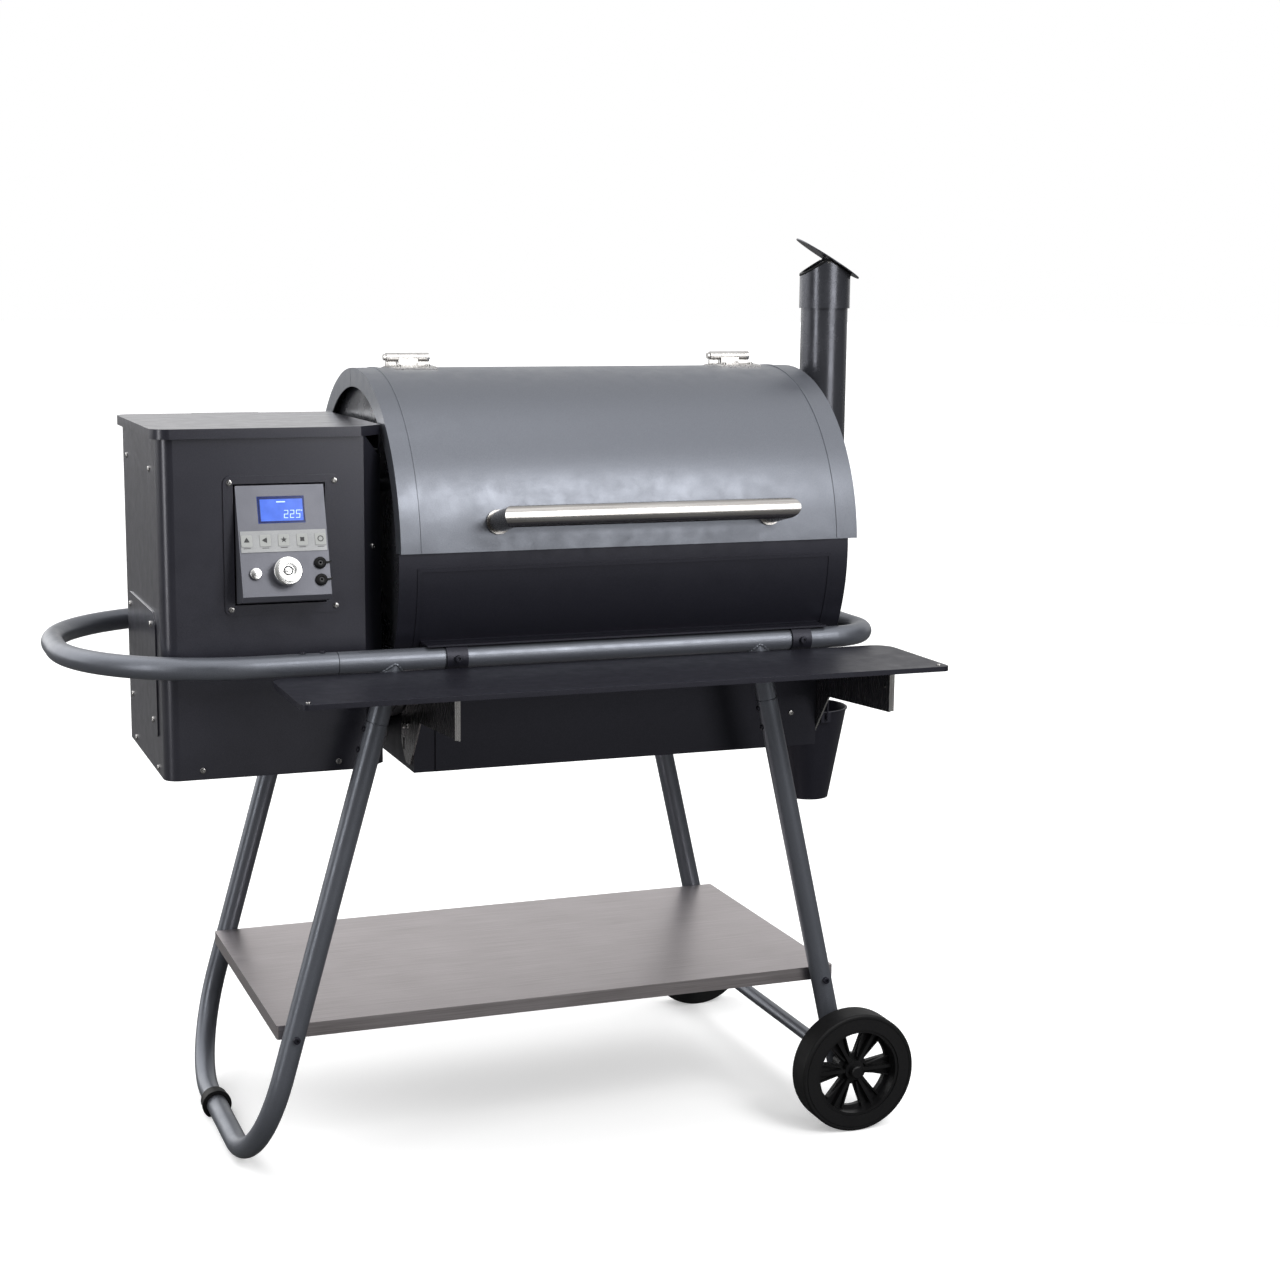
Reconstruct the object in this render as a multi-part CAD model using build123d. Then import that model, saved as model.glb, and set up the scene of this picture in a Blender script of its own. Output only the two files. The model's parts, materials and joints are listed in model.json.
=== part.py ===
from build123d import *
import os
from math import asin, atan2, cos, degrees, hypot, pi, radians, sin, sqrt, tan

os.makedirs("parts", exist_ok=True)

# ---------------------------------------------------------------- driving dimensions (mm)
# Working frame: X = 0 at the lid's left end, Y = 0 on the barrel's axis, Z = 0 on the floor.
GAP = 0.3                     # clearance between neighbouring curved faces
SHEET = 1.5

BARREL_Z = 864.6              # height of the barrel's axis
LID_R, LID_L, LID_T = 256.0, 683.0, 1.8
LOWER_R, LOWER_T = 251.0, 1.8
LOWER_X0, LOWER_X1 = -2.0, 671.0
LID_EDGE_Z = 881.0            # lower edge of the lid and of the rear shell
SEAM_ANG = 85.4               # seam between lid and rear shell, degrees from the rear
RING_R = 229.0                # inner radius of the flanged end rings
CAP_INSET = 12.0              # how far the end caps sit inside the rings

TUBE_R, TUBE_T = 15.5, 1.6    # frame tube
RAIL_Y, RAIL_Z = 251.0, 736.5
RAIL_X1, RAIL_BEND = 724.0, 72.0
HANDLE_X0, HANDLE_BEND = -432.0, 230.0
SEAM_X = -88.6                # joint between the rail and the push handle
JOINT_GAP = 1.0               # open line where one frame tube meets the next
LEG_JOINT_Z = 652.0
LEFT_LEG_X0, LEFT_LEG_SLOPE = -218.0, 0.281       # x = X0 + slope * z
RIGHT_LEG_X0, RIGHT_LEG_SLOPE = 695.2, -0.229
LOOP_Z, LOOP_BEND = 18.0, 150.0
SHELF_X0, SHELF_X1, SHELF_HALF, SHELF_Z, SHELF_LIP = -177.0, 672.0, 235.2, 231.0, 20.0
BOLT_Z = 219.0

WHEEL_R, WHEEL_Z, WHEEL_Y0, WHEEL_Y1 = 90.0, 90.0, 284.0, 326.0
RIM_R, AXLE_R, HUB_Y1 = 66.0, 6.0, 313.0

HOP_X0, HOP_X1, HOP_Y0, HOP_Y1 = -312.0, -3.0, -189.0, 145.0
HOP_Z0, HOP_Z1 = 575.0, 1048.2
HOP_CHAMFER, HOP_CORNER = 31.0, 20.0
HOP_LID_Z0, HOP_LID_Z1, HOP_LID_OUT = 1036.5, 1050.0, 8.0
HOP_HINGE_Y, HOP_HINGE_Z = 152.0, 1043.5

CHIM_X, CHIM_Y, CHIM_R, COLLAR_R = 751.0, 10.0, 36.0, 39.0
COLLAR_Z0, RIDGE_Z, CAP_SLOPE, CAP_TURN = 1207.0, 1283.0, 31.5, -18.0
FLAP_HALF_L, FLAP_HALF_W, FLAP_T, FLAP_PIN_DROP = 57.0, 46.0, 1.6, 6.0
FLAP_LIFT = FLAP_PIN_DROP * cos(radians(CAP_SLOPE)) + 0.4 + FLAP_T / 2   # pin to mid-plate

BELLY_X0, BELLY_X1, BELLY_HALF, BELLY_Z0 = 41.0, 669.0, 163.0, 557.0
BOARD_X0, BOARD_X1, BOARD_Y0, BOARD_Y1 = -185.0, 728.0, -462.0, -269.0
BOARD_Z, BOARD_LIP = 724.0, 7.0

GRIP_ANG, GRIP_RAD, GRIP_R = 12.5, 322.0, 14.5     # lid handle, angle above the horizontal
GRIP_X0, GRIP_X1 = 138.0, 543.0
HINGE_Y, HINGE_Z, HINGE_R, HINGE_W = 20.0, 1134.5, 6.5, 64.0
HINGE_X = (85.0, 595.0)

AUGER_Z, AUGER_R = 595.0, 17.0
POT_X, POT_R = 341.0, 50.0
GRATE_Z = 852.0
BUCKET_X, BUCKET_Y, BUCKET_TOP, BUCKET_BOT = 732.0, -10.0, 583.0, 438.0
BUCKET_R1, BUCKET_R0, EAR_Z, BAIL_R, BAIL_TOP = 58.5, 32.5, 576.0, 65.5, 666.0

# The stored part stands with its bounding box centred over the origin.
SLOPE, TURN = radians(CAP_SLOPE), radians(CAP_TURN)
X_MIN = HANDLE_X0 - TUBE_R
X_MAX = (CHIM_X + hypot(FLAP_HALF_L * cos(SLOPE) * cos(TURN), FLAP_HALF_W * sin(TURN))
         + (FLAP_LIFT + FLAP_T / 2) * sin(SLOPE) * cos(TURN))
ORIGIN = ((X_MIN + X_MAX) / 2, (BOARD_Y0 + WHEEL_Y1) / 2, 0.0)


# ---------------------------------------------------------------- helpers
def save(name, shape):
    """Write one node, moved from the working frame to the stored frame."""
    moved = Pos(-ORIGIN[0], -ORIGIN[1], -ORIGIN[2]) * shape
    moved.label = name
    export_step(moved, f"parts/{name}.step")


def box(x0, x1, y0, y1, z0, z1):
    return Pos((x0 + x1) / 2, (y0 + y1) / 2, (z0 + z1) / 2) * Box(x1 - x0, y1 - y0, z1 - z0)


def cyl(p, q, r):
    p, q = Vector(*p), Vector(*q)
    along = q - p
    return Plane(origin=p, z_dir=along) * Cylinder(
        r, along.length, align=(Align.CENTER, Align.CENTER, Align.MIN))


def pipe(p, q, ro, ri):
    return cyl(p, q, ro) - cyl(p, q, ri)


def swept(path, ro, ri=0.0):
    """Round bar or tube along a path."""
    start = Plane(origin=path @ 0, z_dir=path % 0)
    section = Circle(ro) if ri == 0 else Circle(ro) - Circle(ri)
    return sweep(start * section, path=path)


def sector(r0, r1, a0, a1, x0, x1, cy=0.0, cz=BARREL_Z):
    """Curved plate about an X axis; angle 0 points to the rear, 90 up, 180 to the front."""
    outer, inner = CenterArc((0, 0), r1, a0, a1 - a0), CenterArc((0, 0), r0, a0, a1 - a0)
    face = make_face([outer, inner, Line(outer @ 0, inner @ 0), Line(outer @ 1, inner @ 1)])
    plane = Plane(origin=(x0, cy, cz), x_dir=(0, 1, 0), z_dir=(1, 0, 0))
    return plane * extrude(face, x1 - x0, dir=(0, 0, 1))


def plate_yz(points, x0, x1):
    face = make_face(Polyline(*points, close=True))
    plane = Plane(origin=(x0, 0, 0), x_dir=(0, 1, 0), z_dir=(1, 0, 0))
    return plane * extrude(face, x1 - x0, dir=(0, 0, 1))


def plate_xz(points, y0, y1):
    face = make_face(Polyline(*points, close=True))
    plane = Plane(origin=(0, y1, 0), x_dir=(1, 0, 0), z_dir=(0, -1, 0))
    return plane * extrude(face, y1 - y0, dir=(0, 0, 1))


def mirror_y(shape):
    return mirror(shape, about=Plane.XZ)


def on_barrel(radius, ang, x):
    return (x, radius * cos(radians(ang)), BARREL_Z + radius * sin(radians(ang)))


def point(p, d, dist):
    return tuple(a + b * dist for a, b in zip(p, d))


def pan_screw(p, d, r=4.2, h=2.4, shank=7.0):
    """Domed screw: p on the surface, d the outward unit vector."""
    head = cyl(p, point(p, d, h), r)
    head = fillet(head.edges().filter_by(GeomType.CIRCLE).sort_by_distance(point(p, d, h))[0], 0.6 * h)
    return head + cyl(point(p, d, -shank), point(p, d, 0.1), 1.9)


def cap_screw(p, d, shank=8.0, r=5.0, h=4.5):
    """Socket-head screw."""
    head = cyl(p, point(p, d, h), r) - cyl(point(p, d, h - 2.5), point(p, d, h), 2.4)
    return head + cyl(point(p, d, -shank), point(p, d, 0.1), 2.9)


def drilled(shape, spots, r=2.2, depth=9.0):
    for p, d in spots:
        shape -= cyl(point(p, d, -depth), point(p, d, 1.0), r)
    return shape


def left_leg_x(z):
    return LEFT_LEG_X0 + LEFT_LEG_SLOPE * z


def right_leg_x(z):
    return RIGHT_LEG_X0 + RIGHT_LEG_SLOPE * z


BORE = TUBE_R - TUBE_T
LEFT, RIGHT, FRONT, REAR, UP = (-1, 0, 0), (1, 0, 0), (0, -1, 0), (0, 1, 0), (0, 0, 1)

# ---------------------------------------------------------------- tubular frame
rail_path = FilletPolyline((SEAM_X, -RAIL_Y, RAIL_Z), (RAIL_X1, -RAIL_Y, RAIL_Z),
                           (RAIL_X1, RAIL_Y, RAIL_Z), (SEAM_X, RAIL_Y, RAIL_Z), radius=RAIL_BEND)
main_rail = swept(rail_path, TUBE_R, BORE)
for side in (-1, 1):
    y = side * RAIL_Y
    main_rail += pipe((SEAM_X, y, RAIL_Z), (SEAM_X + 20, y, RAIL_Z), BORE + 0.2, 12.0)
    main_rail += pipe((SEAM_X - 60, y, RAIL_Z), (SEAM_X, y, RAIL_Z), BORE - GAP, 12.0)
    for leg_x in (left_leg_x, right_leg_x):
        top, joint = (leg_x(RAIL_Z), y, RAIL_Z), (leg_x(LEG_JOINT_Z), y, LEG_JOINT_Z)
        end = (leg_x(LEG_JOINT_Z - 55), y, LEG_JOINT_Z - 55)
        stub = cyl(top, joint, TUBE_R - 0.3) + cyl(top, end, BORE - GAP) - cyl(top, end, 11.5)
        main_rail += stub - cyl((top[0] - 40, y, RAIL_Z), (top[0] + 40, y, RAIL_Z), BORE)

handle_path = FilletPolyline((SEAM_X - JOINT_GAP, RAIL_Y, RAIL_Z), (HANDLE_X0, RAIL_Y, RAIL_Z),
                             (HANDLE_X0, -RAIL_Y, RAIL_Z), (SEAM_X - JOINT_GAP, -RAIL_Y, RAIL_Z),
                             radius=HANDLE_BEND)
push_handle = swept(handle_path, TUBE_R, BORE)

# Left leg: one tube bent into a loop that stands on the floor.
lean = hypot(1.0, LEFT_LEG_SLOPE)
loop_plane = Plane(origin=(left_leg_x(LOOP_Z), 0, LOOP_Z), x_dir=(0, 1, 0),
                   z_dir=(1 / lean, 0, -LEFT_LEG_SLOPE / lean))
loop_top = (LEG_JOINT_Z - JOINT_GAP - LOOP_Z) * lean
loop_path = loop_plane * FilletPolyline((-RAIL_Y, loop_top), (-RAIL_Y, 0), (RAIL_Y, 0),
                                        (RAIL_Y, loop_top), radius=LOOP_BEND)
leg_loop = swept(loop_path, TUBE_R, BORE)

AXLE_X = right_leg_x(WHEEL_Z)
right_leg = pipe((right_leg_x(LEG_JOINT_Z - JOINT_GAP), -RAIL_Y, LEG_JOINT_Z - JOINT_GAP),
                 (right_leg_x(70.0), -RAIL_Y, 70.0), TUBE_R, BORE)
right_leg -= cyl((AXLE_X, -RAIL_Y - 30, WHEEL_Z), (AXLE_X, -RAIL_Y + 30, WHEEL_Z), AXLE_R + GAP)

# Screws that hold the legs on the stubs, the handle on the rail and the shelf on the legs.
leg_spots, shelf_spots, handle_spots = [], [], []
for side in (-1, 1):
    y = side * RAIL_Y
    for leg_x, slope in ((left_leg_x, LEFT_LEG_SLOPE), (right_leg_x, RIGHT_LEG_SLOPE)):
        n = hypot(1.0, slope)
        out = (-1 / n, 0, slope / n)
        for z in (640.0, 612.0):
            leg_spots.append((point((leg_x(z), y, z), out, TUBE_R + GAP), out))
        shelf_spots.append(((leg_x(BOLT_Z), side * (RAIL_Y + TUBE_R + GAP), BOLT_Z), (0, side, 0)))
    for x in (-136.0, -109.0):
        handle_spots.append(((x, y, RAIL_Z + TUBE_R + GAP), UP))

leg_loop = drilled(leg_loop, leg_spots + shelf_spots, r=3.2, depth=42.0)
right_leg = drilled(right_leg, leg_spots + shelf_spots, r=3.2, depth=42.0)
main_rail = drilled(main_rail, leg_spots + handle_spots, r=2.2)
push_handle = drilled(push_handle, handle_spots)

# Foot ring of rubber on the loop, flat where it meets the floor.
foot_y = 56.0
foot_ring = pipe((left_leg_x(LOOP_Z), foot_y - 12, LOOP_Z), (left_leg_x(LOOP_Z), foot_y + 12, LOOP_Z),
                 TUBE_R + 5.0, TUBE_R + GAP)
foot_ring += pipe((left_leg_x(LOOP_Z), foot_y - 12, LOOP_Z), (left_leg_x(LOOP_Z), foot_y - 7, LOOP_Z),
                  TUBE_R + 6.5, TUBE_R + GAP)
foot_ring -= box(left_leg_x(0) - 60, left_leg_x(0) + 60, foot_y - 20, foot_y + 20, -20, 0)

crossbar = pipe((AXLE_X, -RAIL_Y + TUBE_R + GAP, WHEEL_Z), (AXLE_X, RAIL_Y - TUBE_R - GAP, WHEEL_Z),
                10.0, AXLE_R + GAP)
axle_rod = cyl((AXLE_X, -HUB_Y1 - 8, WHEEL_Z), (AXLE_X, HUB_Y1 + 8, WHEEL_Z), AXLE_R)
cap = pipe((AXLE_X, HUB_Y1 + 1.0, WHEEL_Z), (AXLE_X, HUB_Y1 + 9.5, WHEEL_Z), 9.5, AXLE_R + GAP)
cap += cyl((AXLE_X, HUB_Y1 + 8.5, WHEEL_Z), (AXLE_X, HUB_Y1 + 11, WHEEL_Z), 9.5)
cap = chamfer(cap.edges().filter_by(GeomType.CIRCLE).sort_by(Axis.Y)[-1:], 1.6)
axle_caps = cap + mirror_y(cap)

# Bottom shelf: folded sheet, lips down.
shelf = box(SHELF_X0, SHELF_X1, -SHELF_HALF, SHELF_HALF, SHELF_Z - SHELF_LIP, SHELF_Z)
shelf = fillet(shelf.edges().filter_by(Axis.Z), 3.0)
shelf -= box(SHELF_X0 + SHEET, SHELF_X1 - SHEET, -SHELF_HALF + SHEET, SHELF_HALF - SHEET,
             SHELF_Z - SHELF_LIP - 1, SHELF_Z - SHEET)
shelf = drilled(shelf, shelf_spots, r=3.2, depth=42.0)

# ---------------------------------------------------------------- wheels (front one, then mirrored)
def wheel_cyl(y0, y1, ro, ri):
    return pipe((AXLE_X, -y0, WHEEL_Z), (AXLE_X, -y1, WHEEL_Z), ro, ri)


wheel_rim = wheel_cyl(268.0, HUB_Y1, 15.0, AXLE_R + 0.05)
wheel_rim += wheel_cyl(WHEEL_Y0 + 2, WHEEL_Y1 - 2, RIM_R, RIM_R - 4)
web = wheel_cyl(296.0, 303.0, RIM_R - 3, 13.0)
window_plane = Plane(origin=(AXLE_X, -312.0, WHEEL_Z), x_dir=(1, 0, 0), z_dir=(0, 1, 0))
for k in range(6):
    a = 60 * k + 30
    outer, inner = CenterArc((0, 0), 57.0, a - 15, 30), CenterArc((0, 0), 24.0, a - 7, 14)
    face = make_face([outer, inner, Line(outer @ 0, inner @ 0), Line(outer @ 1, inner @ 1)])
    web -= window_plane * extrude(face, 20, dir=(0, 0, 1))
    rib = box(13.0, RIM_R - 3, -2.5, 2.5, 0.0, 12.0)
    web += window_plane * (Rot(0, 0, a + 30) * rib)
    for side in (-1, 1):
        edge = box(20.0, RIM_R - 3, -1.2, 1.2, 4.0, 12.0)
        web += window_plane * (Rot(0, 0, a + side * 15.8) * edge)
wheel_rim += web
tyre = wheel_cyl(WHEEL_Y0, WHEEL_Y1, WHEEL_R, RIM_R + GAP)
tyre = fillet(tyre.edges().filter_by(GeomType.CIRCLE).sort_by(SortBy.RADIUS)[-2:], 3.5)
tyre -= wheel_cyl(WHEEL_Y1 - 1.0, WHEEL_Y1 + 1, 84.5, 83.0)

# ---------------------------------------------------------------- barrel
def end_ang(z, r=LID_R):
    return degrees(asin((z - BARREL_Z) / r))


low = end_ang(LID_EDGE_Z)
lip = end_ang(893.0, LOWER_R)
lower_shell = sector(LOWER_R - LOWER_T, LOWER_R, 180 - lip, 360 + lip, LOWER_X0, LOWER_X1)
for x in (LOWER_X0 + 26, LOWER_X1 - 31):
    lower_shell += sector(LOWER_R - 0.2, LOWER_R + 1.3, 182.0, 358.0, x, x + 5)
for a in (181.0, 357.8):
    lower_shell += sector(LOWER_R - 0.2, LOWER_R + 1.3, a, a + 1.2, LOWER_X0 + 26, LOWER_X1 - 26)
lower_shell -= box(LOWER_X0 - 5, LID_T + 0.6, -260, 260, LID_EDGE_Z - 0.8, 900)
lower_shell -= cyl((POT_X, 0, 600), (POT_X, 0, 640), POT_R + 2.5)

inner_r = LID_R - LID_T
rear_shell = sector(inner_r, LID_R, low, SEAM_ANG, 0, LID_L)
lid_shell = sector(inner_r, LID_R, SEAM_ANG + 0.25, 180 - low, 0, LID_L)
for x in (0.0, LID_L - LID_T):
    rear_shell += sector(RING_R, LID_R - 0.5, low, SEAM_ANG, x, x + LID_T)
    lid_shell += sector(RING_R, LID_R - 0.5, SEAM_ANG + 0.25, 180 - low, x, x + LID_T)
for x in (28.0, LID_L - 33.0):
    rear_shell += sector(LID_R - 0.2, LID_R + 1.1, low + 0.4, SEAM_ANG - 0.4, x, x + 5)
    lid_shell += sector(LID_R - 0.2, LID_R + 1.1, SEAM_ANG + 0.8, 179.6 - low, x, x + 5)

cap_r = LOWER_R - LOWER_T - GAP


def end_cap(x0, x1, inward):
    """Recessed end: a disc with a rim and two ledges that carry the tray and the grate."""
    a, b = (x1, x1 + 12) if inward > 0 else (x0 - 12, x0)
    ledge = (x1, x1 + 22) if inward > 0 else (x0 - 22, x0)
    cap = cyl((x0, 0, BARREL_Z), (x1, 0, BARREL_Z), cap_r)
    cap += pipe((a, 0, BARREL_Z), (b, 0, BARREL_Z), cap_r, cap_r - SHEET)
    cap += box(*ledge, -225, 225, GRATE_Z - 6.5, GRATE_Z - 4.5)
    return cap + box(*ledge, -180, 180, 702, 704)


end_cap_left = end_cap(CAP_INSET, CAP_INSET + SHEET, 1)
end_cap_right = end_cap(LOWER_X1 - CAP_INSET - SHEET, LOWER_X1 - CAP_INSET, -1)

# ---------------------------------------------------------------- lid handle and hinges
def grip_point(rad, x):
    return (x, -rad * cos(radians(GRIP_ANG)), BARREL_Z + rad * sin(radians(GRIP_ANG)))


grip_path = Polyline(grip_point(LID_R + 4, GRIP_X0), grip_point(GRIP_RAD, GRIP_X0),
                     grip_point(GRIP_RAD, GRIP_X1), grip_point(LID_R + 4, GRIP_X1))
start = Plane(origin=grip_path @ 0, z_dir=grip_path % 0)
lid_handle = sweep(start * (Circle(GRIP_R) - Circle(GRIP_R - 1.5)), path=grip_path,
                   transition=Transition.RIGHT)
for x in (GRIP_X0, GRIP_X1):
    lid_handle += cyl(grip_point(LID_R + 0.9, x), grip_point(LID_R + 4.5, x), GRIP_R + 2.5)
    lid_handle += cyl(grip_point(LID_R - 14, x), grip_point(LID_R + 3, x), 4.0)
    lid_shell -= cyl(grip_point(LID_R - 6, x), grip_point(LID_R + 6, x), 4.0 + GAP)

hinge_bases, hinge_leaves, hinge_pins = None, None, None
base_spots, leaf_spots = [], []
for hx in HINGE_X:
    x0, x1 = hx - HINGE_W / 2, hx + HINGE_W / 2
    c, r = (HINGE_Y, HINGE_Z), HINGE_R
    # Rear leaf with two outer knuckles, lid leaf with the middle knuckle.
    base = sector(LID_R + GAP, LID_R + 2.8, 74.0, SEAM_ANG - 0.2, x0, x1)
    leaf = sector(LID_R + GAP, LID_R + 2.8, SEAM_ANG + 0.4, 97.0, x0, x1)
    for a, b in ((x0, x0 + 17), (x1 - 17, x1)):
        knuckle = cyl((a, *c), (b, *c), r) + box(a, b, c[0], c[0] + 4.5, 1121.5, c[1])
        base += knuckle - cyl((a - 1, *c), (b + 1, *c), 3.3)
    knuckle = cyl((x0 + 17.4, *c), (x1 - 17.4, *c), r)
    knuckle += box(x0 + 17.4, x1 - 17.4, c[0] - 6.0, c[0] - 1.0, 1121.5, c[1])
    leaf += knuckle
    leaf -= cyl((x0, *c), (x1, *c), 3.05)
    pin = cyl((x0 - 2, *c), (x1 + 2, *c), 3.0) + cyl((x0 - 4, *c), (x0 - 0.3, *c), 4.6)
    hinge_bases = base if hinge_bases is None else hinge_bases + base
    hinge_leaves = leaf if hinge_leaves is None else hinge_leaves + leaf
    hinge_pins = pin if hinge_pins is None else hinge_pins + pin
    for x in (x0 + 10, x1 - 10):
        for ang, spots in ((78.0, base_spots), (92.5, leaf_spots)):
            d = (0, cos(radians(ang)), sin(radians(ang)))
            spots.append((point(on_barrel(LID_R + 2.8, ang, x), d, 0.1), d))
hinge_bases = drilled(hinge_bases, base_spots)
rear_shell = drilled(rear_shell, base_spots)
hinge_leaves = drilled(hinge_leaves, leaf_spots)
lid_shell = drilled(lid_shell, leaf_spots)

# ---------------------------------------------------------------- chimney
elbow_z, bend = 905.0, 52.0
bend_x, bend_z = CHIM_X - bend, elbow_z + bend


def elbow_solid(r):
    """Horizontal run, quarter bend and upright run of radius r."""
    disc = Plane(origin=(bend_x, CHIM_Y, elbow_z), z_dir=(1, 0, 0)) * Circle(r)
    turn = revolve(disc, Axis((bend_x, CHIM_Y, bend_z), (0, -1, 0)), 90)
    return (cyl((659.3, CHIM_Y, elbow_z), (bend_x, CHIM_Y, elbow_z), r) + turn
            + cyl((CHIM_X, CHIM_Y, bend_z), (CHIM_X, CHIM_Y, 975.0), r))


chimney_elbow = elbow_solid(CHIM_R - 2) + cyl((659.3, CHIM_Y, elbow_z), (662.3, CHIM_Y, elbow_z), 58.0)
chimney_elbow -= elbow_solid(CHIM_R - 3.5)
end_cap_right -= cyl((640, CHIM_Y, elbow_z), (665, CHIM_Y, elbow_z), CHIM_R - 3.5)
chimney_pipe = pipe((CHIM_X, CHIM_Y, 962.0), (CHIM_X, CHIM_Y, 1236.0), CHIM_R, CHIM_R - 1.6)

cap_frame = Pos(CHIM_X, CHIM_Y, 0) * Rot(0, 0, CAP_TURN)
ridge_half = COLLAR_R * tan(radians(CAP_SLOPE))
pin_z = RIDGE_Z - FLAP_PIN_DROP
collar = pipe((0, 0, COLLAR_Z0), (0, 0, RIDGE_Z + 5), COLLAR_R, CHIM_R + GAP)
gable = plate_xz([(-COLLAR_R - 9, COLLAR_Z0 - 1), (COLLAR_R + 9, COLLAR_Z0 - 1),
                  (COLLAR_R + 9, RIDGE_Z - (COLLAR_R + 9) * tan(radians(CAP_SLOPE))),
                  (3.2, RIDGE_Z - 3.2 * tan(radians(CAP_SLOPE))),
                  (-3.2, RIDGE_Z - 3.2 * tan(radians(CAP_SLOPE))),
                  (-COLLAR_R - 9, RIDGE_Z - (COLLAR_R + 9) * tan(radians(CAP_SLOPE)))], -60, 60)
collar = (collar & gable) - cyl((0, -60, pin_z), (0, 60, pin_z), 2.3)
flap_pin = cyl((0, -COLLAR_R - 0.2, pin_z), (0, COLLAR_R + 0.2, pin_z), 2.0)
flap = scale(Cylinder(10.0, FLAP_T), by=(FLAP_HALF_L / 10, FLAP_HALF_W / 10, 1))
flap = Rot(0, CAP_SLOPE, 0) * Pos(0, 0, FLAP_LIFT) * flap
for y in (-34.5, 31.5):
    tab = cyl((0, y, 0), (0, y + 3.0, 0), 4.6) + box(-4.0, 4.0, y, y + 3.0, 0, FLAP_LIFT)
    flap += Rot(0, CAP_SLOPE, 0) * tab
flap = Pos(0, 0, pin_z) * flap - cyl((0, -60, pin_z), (0, 60, pin_z), 2.05)
chimney_collar, chimney_flap, flap_pin = (cap_frame * s for s in (collar, flap, flap_pin))

# ---------------------------------------------------------------- rail cradles
cradle = sector(LOWER_R + GAP, LOWER_R + 2.8, 205.2, 220.0, 34, 634)
cradle += box(34, 634, -262, -227.6, 753.5, 756)
cradle_spots = []
for x0, x1 in ((60, 90), (578, 608)):
    cradle += sector(TUBE_R + GAP, TUBE_R + 3.3, 82, 245, x0, x1, -RAIL_Y, RAIL_Z)
    cradle_spots.append((((x0 + x1) / 2, -RAIL_Y - TUBE_R - 3.6, RAIL_Z + 1), FRONT))
cradle = drilled(cradle, cradle_spots, r=3.2)
cradle_front, cradle_rear = cradle, mirror_y(cradle)
cradle_spots += [((p[0], -p[1], p[2]), REAR) for p, _ in cradle_spots]
main_rail = drilled(main_rail, cradle_spots, r=3.2)

# ---------------------------------------------------------------- burner housing, arms and front board
belly = box(BELLY_X0, BELLY_X1, -BELLY_HALF, BELLY_HALF, BELLY_Z0, 720)
belly -= box(BELLY_X0 + SHEET, BELLY_X1 - SHEET, -BELLY_HALF + SHEET, BELLY_HALF - SHEET,
             BELLY_Z0 + SHEET, 721)
belly -= cyl((0, 0, BARREL_Z), (700, 0, BARREL_Z), LOWER_R + 1.7)
belly -= cyl((30, 0, AUGER_Z), (60, 0, AUGER_Z), AUGER_R + GAP)
strap = box(72, 107, -BELLY_HALF - 2.8, -BELLY_HALF - GAP, BELLY_Z0 + 0.5, 648)
belly_spots = [((89.5, -BELLY_HALF - 2.8, 632.0), FRONT), ((627, -BELLY_HALF, 608.0), FRONT),
               ((83, BELLY_HALF, 608.0), REAR),
               ((627, BELLY_HALF, 608.0), REAR)]
belly, strap = drilled(belly, belly_spots), drilled(strap, belly_spots)

arm_outline = [(-395, 716.5), (-395, 650), (-204, 637), (-150, 566), (-128, 566), (-106, 592),
               (-106, 660), (-170, 690), (-269, 716.5)]
arm_l = plate_yz(arm_outline, BELLY_X0 - 2.8, BELLY_X0 - GAP)
arm_l -= cyl((0, 0, BARREL_Z), (60, 0, BARREL_Z), LOWER_R + 3.0)
arm_l += box(BELLY_X0 - 18, BELLY_X0 - 1, -388, -285, 714.0, 716.5)
arm_l -= box(BELLY_X0 - 5, BELLY_X0 + 1, -122, -115, 583, 600)
arm_l += box(BELLY_X0 - 8, BELLY_X0 - 1, -395, -392.5, 651, 712)
arm_r = mirror(arm_l, about=Plane.YZ.offset((BELLY_X0 + BELLY_X1) / 2))
arm_spots, arm_bolts = [], []
for x, d in ((BELLY_X0 - 2.8, LEFT), (BELLY_X1 + 2.8, RIGHT)):
    arm_spots += [((x, yy, zz), d) for yy, zz in ((-120, 618), (-142, 622))]
    arm_bolts.append(((x, -380, 684), d))
arm_l, arm_r, belly = (drilled(s, arm_spots + arm_bolts) for s in (arm_l, arm_r, belly))

board = box(BOARD_X0, BOARD_X1, BOARD_Y0, BOARD_Y1, BOARD_Z - BOARD_LIP, BOARD_Z)
cavity = box(BOARD_X0 + SHEET, BOARD_X1 - SHEET, BOARD_Y0 + SHEET, BOARD_Y1 - SHEET,
             BOARD_Z - BOARD_LIP - 1, BOARD_Z - SHEET)


def rounded_plate(plate, front_r, rear_r):
    upright = plate.edges().filter_by(Axis.Z).sort_by(Axis.Y)
    plate = fillet(upright[:2], front_r)
    rear = [e for e in plate.edges().filter_by(Axis.Z) if e.center().Y > BOARD_Y1 - SHEET - 1]
    return fillet(rear, rear_r)


board = rounded_plate(board, 10.0, 28.0) - rounded_plate(cavity, 8.5, 26.5)
board_spots = [((x, BOARD_Y0 + 13, BOARD_Z), UP) for x in (BOARD_X0 + 12, BOARD_X1 - 12)]
board = drilled(board, board_spots)

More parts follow.
